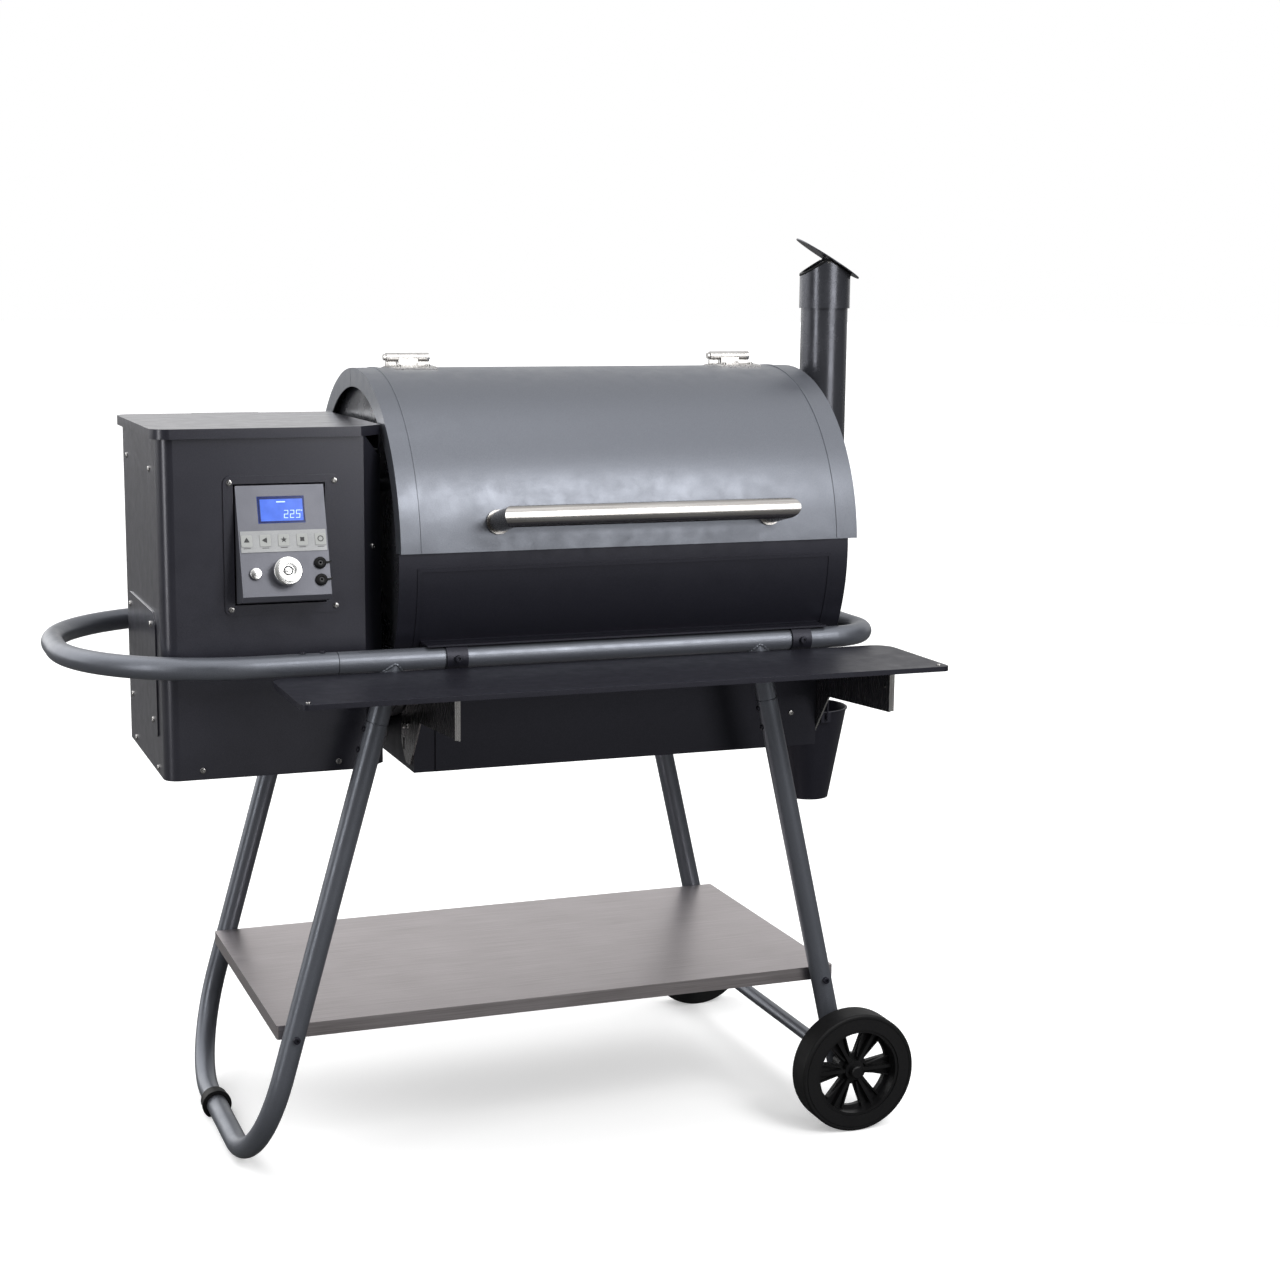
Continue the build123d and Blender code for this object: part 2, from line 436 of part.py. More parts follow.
# ---------------------------------------------------------------- hopper
def plan(inset, z0, z1, chamfer=HOP_CHAMFER, corner=HOP_CORNER, grow=0.0):
    """Hopper outline: rounded left corners, chamfered front right corner."""
    x0, x1 = HOP_X0 + inset - grow, HOP_X1 - inset
    y0, y1 = HOP_Y0 + inset - grow, HOP_Y1 - inset
    c = chamfer - inset * 0.586 + grow * 0.6
    face = make_face(Polyline((x0, y0), (x1 - c, y0), (x1, y0 + c), (x1, y1), (x0, y1), close=True))
    sk = Sketch() + face
    left = sk.vertices().sort_by(Axis.X)[:2]
    sk = fillet(left, corner - inset)
    return Pos(0, 0, z0) * extrude(sk, z1 - z0)


walls = plan(0, HOP_Z0, HOP_Z1) - plan(SHEET, HOP_Z0 + SHEET, HOP_Z1 + 1)
front_zone = box(HOP_X0 - 5, HOP_X1 + 5, HOP_Y0 - 5, HOP_Y0 + 34, HOP_Z0 + SHEET + 0.2, HOP_Z1 + 5)
hopper_front = walls & front_zone
hopper_body = walls - box(HOP_X0 - 5, HOP_X1 + 5, HOP_Y0 - 5, HOP_Y0 + 34.3,
                          HOP_Z0 + SHEET, HOP_Z1 + 5)
hopper_front -= plate_xz([(-34, HOP_Z1 + 2), (-34, 1040), (-2, 1004), (4, HOP_Z1 + 2)], HOP_Y0 + 2, -150)
for y, z in ((-90, 720), (90, 720), (-90, 960), (60, 960)):
    hopper_body += cyl((HOP_X1 - 0.5, y, z), (CAP_INSET, y, z), 9.0)
hopper_body -= cyl((-20, 0, AUGER_Z), (10, 0, AUGER_Z), AUGER_R + GAP)
access_cover = plate_yz([(-140, 628), (-140, 786), (-118, 798), (92, 798), (92, 628)],
                        HOP_X0 - 2.0, HOP_X0 - 0.2)
access_cover = chamfer(access_cover.edges().filter_by(Axis.X), 3.0)
side_spots = [((HOP_X0, y, z), LEFT) for y, z in
              ((88, 995), (-116, 992), (72, 585), (-130, 583))]
cover_spots = [((HOP_X0 - 2.0, y, z), LEFT) for y, z in
               ((82, 781), (-104, 779), (82, 648), (-107, 646))]
front_spots = [((-262, HOP_Y0, 588), FRONT), ((-74, HOP_Y0, 588), FRONT)]
n45 = sqrt(0.5)
front_spots.append(((HOP_X1 - HOP_CHAMFER / 2, HOP_Y0 + HOP_CHAMFER / 2, 884), (n45, -n45, 0)))
hopper_body = drilled(hopper_body, side_spots + cover_spots)
access_cover = drilled(access_cover, cover_spots)

hopper_lid = plan(0, HOP_LID_Z0, HOP_LID_Z1, corner=24.0, grow=HOP_LID_OUT)
hopper_lid -= plan(SHEET, HOP_LID_Z0 - 1, HOP_LID_Z1 - SHEET, corner=24.0, grow=HOP_LID_OUT)
hopper_lid -= box(HOP_X1 - 3, HOP_X1 + 5, HOP_Y0 + 30, 200, HOP_LID_Z0 - 1, HOP_LID_Z1 - SHEET)
hopper_lid -= box(HOP_X0 - 20, HOP_X1 + 5, HOP_Y1 - 9, 200, HOP_LID_Z0 - 1, HOP_LID_Z1 - SHEET)
hopper_hinge = box(-240, -75, HOP_Y1, HOP_Y1 + 2, 1008, 1038)
pin_line = ((-242, HOP_HINGE_Y, HOP_HINGE_Z), (-73, HOP_HINGE_Y, HOP_HINGE_Z))
for a, b, fixed in ((-240, -208, True), (-207.5, -108.5, False), (-108, -75, True)):
    knuckle = cyl((a, HOP_HINGE_Y, HOP_HINGE_Z), (b, HOP_HINGE_Y, HOP_HINGE_Z), 4.5)
    if fixed:
        hopper_hinge += knuckle + box(a, b, HOP_Y1, HOP_HINGE_Y - 2, 1034, HOP_HINGE_Z)
    else:
        tab = box(a, b, HOP_Y1 - 4, HOP_HINGE_Y + 2, HOP_LID_Z1 - SHEET, HOP_LID_Z1)
        tab += box(a, b, HOP_HINGE_Y - 1, HOP_HINGE_Y + 2, HOP_HINGE_Z, HOP_LID_Z1)
        hopper_lid += knuckle + tab
        hopper_lid -= cyl(*pin_line, 2.55)
hopper_hinge += cyl(*pin_line, 2.5)

# Pellet bin: straight upper part, then a funnel down to the auger.
bin_top, bin_mid, bin_low = 1016.0, 850.0, 614.0


def funnel(t):
    upper = box(-292 + t, -26 - t, -122 + t, 128 - t, bin_mid, bin_top + (t > 0))
    wide = Pos(-159, 3, bin_mid) * Rectangle(266 - 2 * t, 250 - 2 * t)
    mouth = Pos(-115, 0, bin_low - (t > 0)) * Rectangle(110 - 2 * t, 30 - 2 * t)
    return upper + loft([mouth, wide])


hopper_bin = funnel(0) - funnel(1.2)
rim_plate = plan(SHEET + 0.5, bin_top - 1.2, bin_top) & box(HOP_X0, HOP_X1, HOP_Y0 + 36, HOP_Y1, 900, 1100)
hopper_bin += rim_plate - box(-290.8, -27.2, -120.8, 126.8, bin_top - 3, bin_top + 3)

auger_tube = pipe((-195, 0, AUGER_Z), (POT_X - POT_R + 1, 0, AUGER_Z), AUGER_R, AUGER_R - 1.5)
auger_tube -= box(-168, -62, -13.5, 13.5, AUGER_Z, AUGER_Z + 30)
flight_r, shaft_r = AUGER_R - 2.5, 4.5
flight_path = Helix(pitch=32, height=448, radius=9.0)
flight_section = Plane(origin=flight_path @ 0, x_dir=(1, 0, 0), z_dir=flight_path % 0)
flight = sweep(flight_section * Rectangle(2 * (flight_r - 9.0), 1.8), path=flight_path, is_frenet=True)
auger_screw = cyl((-228, 0, AUGER_Z), (POT_X - POT_R - 3, 0, AUGER_Z), shaft_r)
auger_screw += Pos(-180, 0, AUGER_Z) * Rot(0, 90, 0) * flight
auger_motor = box(-300, -232, -28, 28, HOP_Z0 + SHEET, 634) + cyl((-232, 0, AUGER_Z), (-228.3, 0, AUGER_Z), 8)

# ---------------------------------------------------------------- control panel
bezel = box(-227, -67, HOP_Y0 - 2.5, HOP_Y0, 798, 986)
bezel = fillet(bezel.edges().filter_by(Axis.Y), 10.0)
bezel_spots = [((x, HOP_Y0 - 2.5, z), FRONT) for x in (-218.5, -75.5) for z in (806.5, 977.5)]
window = box(-213.5, -88.5, HOP_Y0 - 40, HOP_Y0 + 40, 812, 975.5)
bezel = drilled(bezel - window, bezel_spots)
hopper_front = drilled(hopper_front - window, front_spots + bezel_spots)
FACE_TOP, FACE_LOW = (-191.0, 972.0), (-236.0, 829.0)
case_outline = [(-155, 973), (-191, 973), FACE_LOW, (-230, 821), (-192, 814), (-155, 814)]
hollow_outline = [(-153, 970), (-191.5, 969), (-233, 831.5), (-228, 824), (-192, 817), (-153, 817)]
case = plate_yz(case_outline, -211, -91) - plate_yz(hollow_outline, -208.5, -93.5)
tilt = atan2(FACE_TOP[1] - FACE_LOW[1], FACE_TOP[0] - FACE_LOW[0])
face_plane = Plane(origin=(-151, FACE_TOP[0], 973), x_dir=(1, 0, 0), z_dir=(0, -sin(tilt), cos(tilt)))


def on_face(x, s, shape):
    """Place a shape on the sloped face, s below its top edge."""
    return face_plane * (Pos(x + 151, -s, 0) * shape)


low_align = (Align.CENTER, Align.CENTER, Align.MIN)
case -= on_face(-151, 33.5, Box(64, 37, 2.4))
lcd = on_face(-151, 33.5, Pos(0, 0, -1.1) * Box(63.4, 36.4, 1.4, align=low_align))
keypad = on_face(-151, 76.5, Pos(0, 0, 0.1) * Box(116, 29, 0.8, align=low_align))
for k in range(5):
    pad = Pos(0, 0, 0.8) * Box(15, 16, 0.6, align=low_align)
    keypad += on_face(-201 + 25.0 * k, 75.5, pad)
dial_at, button_at, jack_x, jack_s = (-151, 119.5), (-192, 120), -104.0, (108.0, 131.0)
dial = Pos(0, 0, 0.5) * Cylinder(18.5, 15, align=low_align)
dial = chamfer(dial.edges().filter_by(GeomType.CIRCLE).sort_by(Axis.Z)[-1:], 1.2)
dial -= Pos(0, 0, 14.3) * Cylinder(11.0, 2, align=low_align)
dial += Pos(0, 0, -9) * Cylinder(3.0, 12, align=low_align)
dial -= Pos(0, 15.5, 15.0) * Box(1.2, 5.0, 2.0)
button = Pos(0, 0, -2.2) * Cylinder(7.8, 6.2, align=low_align)
button += Pos(0, 0, -8.2) * Cylinder(2.5, 8, align=low_align)
case -= on_face(*dial_at, Cylinder(3.06, 20))
case -= on_face(*button_at, Cylinder(8.0, 20))
probe_jacks = None
for s in jack_s:
    jack = Pos(0, 0, -8) * Cylinder(5.0, 11.5, align=low_align)
    jack += Pos(0, 0, 0.1) * Cylinder(7.5, 2.4, align=low_align)
    jack -= Pos(0, 0, -9) * Cylinder(1.75, 20, align=low_align)
    case -= on_face(jack_x, s, Cylinder(5.0 + GAP, 20))
    placed = on_face(jack_x, s, jack)
    probe_jacks = placed if probe_jacks is None else probe_jacks + placed
dial, button = on_face(*dial_at, dial), on_face(*button_at, button)
inlet = box(-250, -200, HOP_Y1 - 12, HOP_Y1 + 3, 610, 640) - box(-246, -204, HOP_Y1 - 8, HOP_Y1 + 4, 614, 636)
for x in (-236, -225, -214):
    inlet += box(x - 1, x + 1, HOP_Y1 - 9, HOP_Y1 + 1, 622, 628)
hopper_body -= box(-250.3, -199.7, HOP_Y1 - 5, HOP_Y1 + 5, 609.7, 640.3)

# ---------------------------------------------------------------- fire pot, tray and grate
pot_z0 = BELLY_Z0 + SHEET + GAP
fire_pot = cyl((POT_X, 0, pot_z0), (POT_X, 0, 676), POT_R) - cyl((POT_X, 0, pot_z0 + 3), (POT_X, 0, 680), POT_R - 3)
fire_pot -= cyl((POT_X - POT_R - 5, 0, AUGER_Z), (POT_X - 20, 0, AUGER_Z), AUGER_R + GAP)
for k in range(12):
    a = radians(30 * k + 15)
    tip = (POT_X + 60 * cos(a), 60 * sin(a), 640)
    fire_pot -= cyl((POT_X, 0, 640), tip, 4.0)
drip_tray = box(CAP_INSET + 3, 655, -188, 188, 704.3, 722) - box(CAP_INSET + 4.5, 653.5, -186.5, 186.5, 705.8, 723)
drip_tray -= cyl((630, -10, 700), (630, -10, 710), 12.0)
grate = None
for y in (-222, -75, 75, 222):
    bar = cyl((CAP_INSET + 3, y, GRATE_Z), (655, y, GRATE_Z), 4.0)
    grate = bar if grate is None else grate + bar
for k in range(32):
    x = 26 + k * 19.9
    grate += cyl((x, -228, GRATE_Z), (x, 228, GRATE_Z), 2.5)

# ---------------------------------------------------------------- grease drain and bucket
spout_z = 646.0
spout_path = FilletPolyline((652.0, BUCKET_Y, spout_z), (BUCKET_X, BUCKET_Y, spout_z),
                            (BUCKET_X, BUCKET_Y, 600.0), radius=25)
spout = swept(spout_path, 14.0, 12.5)
end_cap_right -= cyl((640, BUCKET_Y, spout_z), (665, BUCKET_Y, spout_z), 14.0 + GAP)
hook = plate_xz([(686, BAIL_TOP - 12), (686, BAIL_TOP), (738, BAIL_TOP), (738, BAIL_TOP + 6),
                 (742, BAIL_TOP + 6), (742, BAIL_TOP - 6), (708, BAIL_TOP - 12)],
                BUCKET_Y - 1.2, BUCKET_Y + 1.2)
hook -= cyl((BUCKET_X, BUCKET_Y - 9, BAIL_TOP), (BUCKET_X, BUCKET_Y + 9, BAIL_TOP), 1.9)
spout += hook

wall_cone = loft([Pos(BUCKET_X, BUCKET_Y, BUCKET_BOT) * Circle(BUCKET_R0),
                  Pos(BUCKET_X, BUCKET_Y, BUCKET_TOP) * Circle(BUCKET_R1)])
inner_cone = loft([Pos(BUCKET_X, BUCKET_Y, BUCKET_BOT + 1.2) * Circle(BUCKET_R0 - 1.0),
                   Pos(BUCKET_X, BUCKET_Y, BUCKET_TOP + 1) * Circle(BUCKET_R1 - 1.0)])
bucket = wall_cone - inner_cone
bucket += Pos(BUCKET_X, BUCKET_Y, BUCKET_TOP) * Torus(BUCKET_R1, 1.6)
for side in (-1, 1):
    y0, y1 = sorted((BUCKET_Y + side * (BUCKET_R1 - 2.2), BUCKET_Y + side * (BUCKET_R1 + 2.5)))
    bucket += box(BUCKET_X - 8, BUCKET_X + 8, y0, y1, EAR_Z - 8, BUCKET_TOP)
bucket -= cyl((BUCKET_X, BUCKET_Y - 80, EAR_Z), (BUCKET_X, BUCKET_Y + 80, EAR_Z), 1.66)
bucket -= inner_cone
arch_z = BAIL_TOP - BAIL_R
low_z = EAR_Z - 4.0
bail_path = (Line((-BAIL_R, low_z), (-BAIL_R, arch_z)) + CenterArc((0, arch_z), BAIL_R, 180, -180)
             + Line((BAIL_R, arch_z), (BAIL_R, low_z)))
bail_plane = Plane(origin=(BUCKET_X, BUCKET_Y, 0), x_dir=(0, 1, 0), z_dir=(1, 0, 0))
bail = swept(bail_plane * Wire(bail_path.edges()), 1.6)
for side in (-1, 1):
    bail += cyl((BUCKET_X, BUCKET_Y + side * (BUCKET_R1 - 1.5), EAR_Z),
                (BUCKET_X, BUCKET_Y + side * (BAIL_R + 2.2), EAR_Z), 1.5)

# ---------------------------------------------------------------- fasteners
def gather(maker, spots, **kw):
    shape = None
    for p, d in spots:
        item = maker(p, d, **kw)
        shape = item if shape is None else shape + item
    return shape


pan_screws = gather(pan_screw, side_spots + cover_spots + front_spots + bezel_spots
                    + belly_spots + arm_spots, shank=5.0)
pan_screws += gather(pan_screw, board_spots, r=3.2, h=1.6, shank=5.0)
pan_screws += gather(pan_screw, base_spots, shank=7.0) + gather(pan_screw, arm_bolts, shank=18.0)
frame_screws = gather(cap_screw, shelf_spots, shank=40.0) + gather(cap_screw, cradle_spots, shank=9.0)
frame_screws += gather(pan_screw, handle_spots + leg_spots, shank=5.0)
lid_screws = gather(pan_screw, leaf_spots, shank=7.0)

# ---------------------------------------------------------------- write the nodes
nodes = {
    "main_rail": main_rail, "push_handle": push_handle, "leg_loop": leg_loop,
    "leg_front_right": right_leg, "leg_rear_right": mirror_y(right_leg), "foot_ring": foot_ring,
    "axle_crossbar": crossbar, "axle_rod": axle_rod, "axle_caps": axle_caps, "bottom_shelf": shelf,
    "wheel_front_rim": wheel_rim, "wheel_front_tyre": tyre,
    "wheel_rear_rim": mirror_y(wheel_rim), "wheel_rear_tyre": mirror_y(tyre),
    "cradle_front": cradle_front, "cradle_rear": cradle_rear,
    "barrel_lower_shell": lower_shell, "barrel_rear_shell": rear_shell,
    "end_cap_left": end_cap_left, "end_cap_right": end_cap_right,
    "lid_shell": lid_shell, "lid_handle": lid_handle, "hinge_bases": hinge_bases,
    "hinge_leaves": hinge_leaves, "hinge_pins": hinge_pins,
    "chimney_elbow": chimney_elbow, "chimney_pipe": chimney_pipe, "chimney_collar": chimney_collar,
    "chimney_flap": chimney_flap, "flap_pin": flap_pin,
    "burner_housing": belly, "housing_strap": strap, "shelf_arms": arm_l + arm_r,
    "front_board": board,
    "hopper_body": hopper_body, "hopper_front": hopper_front, "hopper_cover": access_cover,
    "hopper_lid": hopper_lid, "hopper_hinge": hopper_hinge, "hopper_bin": hopper_bin,
    "auger_tube": auger_tube, "auger_screw": auger_screw, "auger_motor": auger_motor,
    "control_bezel": bezel, "control_case": case, "lcd": lcd, "keypad": keypad, "dial": dial,
    "power_button": button, "probe_jacks": probe_jacks, "power_inlet": inlet,
    "fire_pot": fire_pot, "drip_tray": drip_tray, "grate": grate,
    "grease_spout": spout, "grease_bucket": bucket, "bucket_bail": bail,
    "pan_screws": pan_screws, "frame_screws": frame_screws, "lid_screws": lid_screws,
}
for name, shape in nodes.items():
    save(name, shape)
    print(name, round(shape.volume), len(shape.solids()))
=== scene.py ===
import json
import math

import bmesh
import bpy
import numpy as np
from mathutils import Matrix, Vector


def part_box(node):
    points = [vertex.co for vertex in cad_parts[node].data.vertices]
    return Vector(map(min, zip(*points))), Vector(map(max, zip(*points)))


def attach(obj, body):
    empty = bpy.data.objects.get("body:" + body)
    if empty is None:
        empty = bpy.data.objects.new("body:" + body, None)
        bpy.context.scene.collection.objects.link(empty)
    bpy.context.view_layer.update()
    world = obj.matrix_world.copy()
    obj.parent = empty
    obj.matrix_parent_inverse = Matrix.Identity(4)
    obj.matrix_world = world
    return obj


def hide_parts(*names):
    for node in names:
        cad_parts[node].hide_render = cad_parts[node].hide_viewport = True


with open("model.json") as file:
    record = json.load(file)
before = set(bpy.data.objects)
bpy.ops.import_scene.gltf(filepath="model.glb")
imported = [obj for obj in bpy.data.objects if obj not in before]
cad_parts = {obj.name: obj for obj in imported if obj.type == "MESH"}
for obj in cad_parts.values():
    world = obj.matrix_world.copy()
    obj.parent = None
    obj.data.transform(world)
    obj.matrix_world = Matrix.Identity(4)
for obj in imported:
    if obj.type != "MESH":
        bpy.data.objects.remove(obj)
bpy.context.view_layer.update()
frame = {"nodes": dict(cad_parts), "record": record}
nodes = frame["nodes"]

# ------------------------------------------------------------------ the frame's own marks
# Millimetres from the lid's left end, the barrel's axis and the floor, as in the CAD source.
MM = 0.001
lid_lo, lid_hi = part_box("lid_shell")
rail_lo, rail_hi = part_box("main_rail")
ORIGIN = Vector((lid_lo.x, (rail_lo.y + rail_hi.y) / 2, 0.0))


def at(x, y, z):
    return ORIGIN + Vector((x, y, z)) * MM


# ------------------------------------------------------------------ camera
def aim(yaw, pitch, roll):
    """Camera rotation in degrees: yaw from +Y towards +X, pitch above the horizon, roll."""
    y, p, r = (math.radians(v) for v in (yaw, pitch, roll))
    ahead = Vector((math.sin(y) * math.cos(p), math.cos(y) * math.cos(p), math.sin(p)))
    right = Vector((math.cos(y), -math.sin(y), 0.0))
    up = right.cross(ahead)
    right, up = right * math.cos(r) + up * math.sin(r), up * math.cos(r) - right * math.sin(r)
    return Matrix((right, up, -ahead)).transposed()


# Place, aim, lens and shift were fitted to points of the object in the photo.
CAMERA_PLACE = (-754.8, -3069.4, 1246.2)
CAMERA_YAW, CAMERA_PITCH, CAMERA_ROLL = 20.293, -9.864, 0.43
LENS, SENSOR = 61.05, 36.0
SHIFT_X, SHIFT_Y = 0.0315, 0.0142

camera = bpy.data.objects.new("camera", bpy.data.cameras.new("camera"))
bpy.context.scene.collection.objects.link(camera)
turn = aim(CAMERA_YAW, CAMERA_PITCH, CAMERA_ROLL).to_4x4()
camera.matrix_world = Matrix.Translation(at(*CAMERA_PLACE)) @ turn
camera.data.lens = LENS
camera.data.sensor_width = SENSOR
camera.data.shift_x, camera.data.shift_y = SHIFT_X, SHIFT_Y
bpy.context.scene.camera = camera


# ------------------------------------------------------------------ material helpers
def add(tree, kind, inputs=None, **settings):
    """A new shader node; an input may be a value or another node's output socket."""
    n = tree.nodes.new(kind)
    for key, value in settings.items():
        setattr(n, key, value)
    for key, value in (inputs or {}).items():
        if isinstance(value, bpy.types.NodeSocket):
            tree.links.new(value, n.inputs[key])
        else:
            n.inputs[key].default_value = value
    return n


def stretched(tree, scale):
    """Object coordinates multiplied by scale (x, y, z)."""
    coords = add(tree, "ShaderNodeTexCoord").outputs["Object"]
    return add(tree, "ShaderNodeMapping", {"Vector": coords, "Scale": scale}).outputs["Vector"]


def noise(tree, scale, detail, rough=0.55, vector=None):
    """Noise over object coordinates, or over the vector given."""
    vector = vector or stretched(tree, (1, 1, 1))
    made = add(tree, "ShaderNodeTexNoise",
               {"Vector": vector, "Scale": scale, "Detail": detail, "Roughness": rough})
    return made.outputs["Fac"]


def ramp(tree, fac, low, high, out_low=0.0, out_high=1.0):
    """fac taken from low..high to out_low..out_high, and held there outside."""
    made = add(tree, "ShaderNodeMapRange",
               {"Value": fac, "From Min": low, "From Max": high, "To Min": out_low, "To Max": out_high})
    return made.outputs["Result"]


def blend_colour(tree, fac, a, b):
    """Colour a where fac is 0 and b where it is 1."""
    n = add(tree, "ShaderNodeMix", data_type="RGBA")
    for socket, value in ((n.inputs[0], fac), (n.inputs[6], a), (n.inputs[7], b)):
        if isinstance(value, bpy.types.NodeSocket):
            tree.links.new(value, socket)
        else:
            socket.default_value = (*value, 1.0) if socket != n.inputs[0] else value
    return n.outputs[2]


def bump(tree, height, distance, strength, normal=None):
    inputs = {"Height": height, "Distance": distance, "Strength": strength}
    if normal:
        inputs["Normal"] = normal
    return add(tree, "ShaderNodeBump", inputs).outputs["Normal"]


def material(name, colour, roughness, normal=None, **sockets):
    """Principled material. colour, roughness and normal are values or functions of the node tree."""
    mat = bpy.data.materials.new(name)
    mat.use_nodes = True
    tree = mat.node_tree
    shader = tree.nodes["Principled BSDF"]
    for socket, value in (("Base Color", colour), ("Roughness", roughness), ("Normal", normal)):
        if callable(value):
            tree.links.new(value(tree), shader.inputs[socket])
        elif value is not None:
            shader.inputs[socket].default_value = (*value, 1.0) if socket == "Base Color" else value
    for key, value in sockets.items():
        shader.inputs[key.replace("_", " ")].default_value = value
    return mat


# ------------------------------------------------------------------ materials
def paint(name, dark, light, rough, grain, metallic, **more):
    """Powder coat: a fine two-tone grain, slow cloudiness, and a bump of the same grain."""
    def colour(t):
        fine = ramp(t, noise(t, grain, 3.0), 0.35, 0.65)
        cloud = ramp(t, noise(t, 7.0, 3.0), 0.3, 0.7, 0.0, 0.35)
        tone = blend_colour(t, fine, dark, light)
        middle = tuple((a + b) / 2 for a, b in zip(dark, light))
        return blend_colour(t, cloud, tone, middle)

    def roughness(t):
        return ramp(t, noise(t, 38.0, 5.0), 0.3, 0.7, rough - 0.05, rough + 0.06)

    def normal(t):
        wide = bump(t, noise(t, grain * 0.22, 2.0), 0.00012, 0.5)
        return bump(t, noise(t, grain, 2.0), 0.00006, 0.6, wide)

    return material(name, colour, roughness, normal, Metallic=metallic, **more)


ACROSS_GRAIN, ALONG_GRAIN = 900.0, 9.0


def brushed(name, dark, light, rough, along):
    """Brushed steel with its grain along one axis."""
    scale = [ACROSS_GRAIN] * 3
    scale["xyz".index(along)] = ALONG_GRAIN

    def grain(t, share=1.0):
        return noise(t, 1.0, 6.0, 0.62, stretched(t, tuple(s * share for s in scale)))

    def colour(t):
        lines = ramp(t, grain(t), 0.35, 0.68)
        smudge = ramp(t, noise(t, 9.0, 4.0), 0.35, 0.75, 0.0, 0.4)
        return blend_colour(t, smudge, blend_colour(t, lines, dark, light), light)

    def roughness(t):
        return ramp(t, grain(t, 0.5), 0.3, 0.7, rough - 0.05, rough + 0.07)

    def normal(t):
        return bump(t, grain(t), 0.00003, 0.35)

    return material(name, colour, roughness, normal, Metallic=1.0)


# Each paint: dark and light tone, roughness, grain size and how metallic it is.
COOL_SHEEN = (0.86, 0.86, 1.0, 1.0)
SLATE = paint("slate_paint", (0.115, 0.124, 0.145), (0.165, 0.175, 0.20), 0.36, 1500.0, 0.55)
CHARCOAL = paint("charcoal_paint", (0.070, 0.072, 0.084), (0.10, 0.103, 0.118), 0.25, 1500.0, 0.6)
BLACK = paint("black_powder_coat", (0.005, 0.005, 0.008), (0.014, 0.014, 0.020), 0.42, 1100.0, 0.0,
              Specular_IOR_Level=0.4, Specular_Tint=COOL_SHEEN)
SATIN = paint("black_satin", (0.013, 0.013, 0.019), (0.027, 0.027, 0.037), 0.34, 1300.0, 0.2,
              Specular_Tint=COOL_SHEEN, Coat_Weight=0.9, Coat_Roughness=0.25)
STEEL = brushed("stainless_long", (0.30, 0.285, 0.27), (0.48, 0.465, 0.45), 0.24, "x")
STEEL_Z = brushed("stainless_plain", (0.36, 0.35, 0.34), (0.54, 0.53, 0.52), 0.24, "z")
SHELF_STEEL = brushed("stainless_shelf", (0.36, 0.33, 0.33), (0.56, 0.52, 0.53), 0.36, "x")
ZINC = brushed("galvanised", (0.35, 0.36, 0.37), (0.5, 0.51, 0.52), 0.4, "z")
ENAMEL = paint("grate_enamel", (0.012, 0.012, 0.013), (0.02, 0.02, 0.022), 0.3, 700.0, 0.0)
PLASTIC = paint("case_plastic", (0.012, 0.012, 0.014), (0.022, 0.022, 0.026), 0.42, 1600.0, 0.0)
FACE = paint("panel_grey", (0.105, 0.108, 0.128), (0.135, 0.138, 0.162), 0.38, 1800.0, 0.35)
WHEEL = paint("wheel_plastic", (0.004, 0.004, 0.0045), (0.009, 0.009, 0.0095), 0.38, 900.0, 0.0,
              Specular_IOR_Level=0.3)
TYRE = paint("tyre_rubber", (0.003, 0.003, 0.0035), (0.008, 0.008, 0.0085), 0.6, 500.0, 0.0,
             Specular_IOR_Level=0.25)
SILVER = paint("keypad_silver", (0.26, 0.265, 0.27), (0.33, 0.335, 0.34), 0.42, 1400.0, 0.3)
PAD = paint("keypad_pad", (0.36, 0.37, 0.36), (0.43, 0.44, 0.43), 0.5, 1400.0, 0.0)
INK = paint("keypad_ink", (0.03, 0.03, 0.032), (0.05, 0.05, 0.052), 0.6, 1400.0, 0.0)


def lit(name, dark, light, glow):
    """A backlit window: a slow uneven glow under a glossy surface."""
    def colour(t):
        return blend_colour(t, ramp(t, noise(t, 60.0, 2.0), 0.3, 0.7), dark, light)

    mat = material(name, colour, 0.15)
    shader = mat.node_tree.nodes["Principled BSDF"]
    tone = shader.inputs["Base Color"].links[0].from_socket
    mat.node_tree.links.new(tone, shader.inputs["Emission Color"])
    shader.inputs["Emission Strength"].default_value = glow
    return mat


SCREEN = lit("lcd_screen", (0.055, 0.13, 0.60), (0.075, 0.17, 0.72), 0.33)
SCREEN_RIM = lit("lcd_rim", (0.006, 0.014, 0.09), (0.01, 0.02, 0.12), 0.1)
DIGIT = lit("lcd_digit", (0.45, 0.62, 0.95), (0.55, 0.72, 1.0), 0.6)


def turned(name):
    """Steel turned on a lathe: fine rings, and reflections drawn out round the axis."""
    def rings(t):
        spread = add(t, "ShaderNodeVectorMath", {0: stretched(t, (1, 1, 0))}, operation="LENGTH")
        radius = add(t, "ShaderNodeCombineXYZ", {0: spread.outputs["Value"]}).outputs[0]
        return noise(t, 2600.0, 2.0, 0.5, radius)

    def colour(t):
        return blend_colour(t, ramp(t, rings(t), 0.3, 0.7), (0.62, 0.62, 0.61), (0.80, 0.80, 0.79))

    def roughness(t):
        return ramp(t, rings(t), 0.3, 0.7, 0.20, 0.28)

    def normal(t):
        return bump(t, rings(t), 0.00002, 0.4)

    mat = material(name, colour, roughness, normal, Metallic=1.0, Anisotropic=0.8)
    t = mat.node_tree
    tangent = add(t, "ShaderNodeTangent", direction_type="RADIAL", axis="Z")
    t.links.new(tangent.outputs[0], t.nodes["Principled BSDF"].inputs["Tangent"])
    return mat


TURNED = turned("turned_steel")

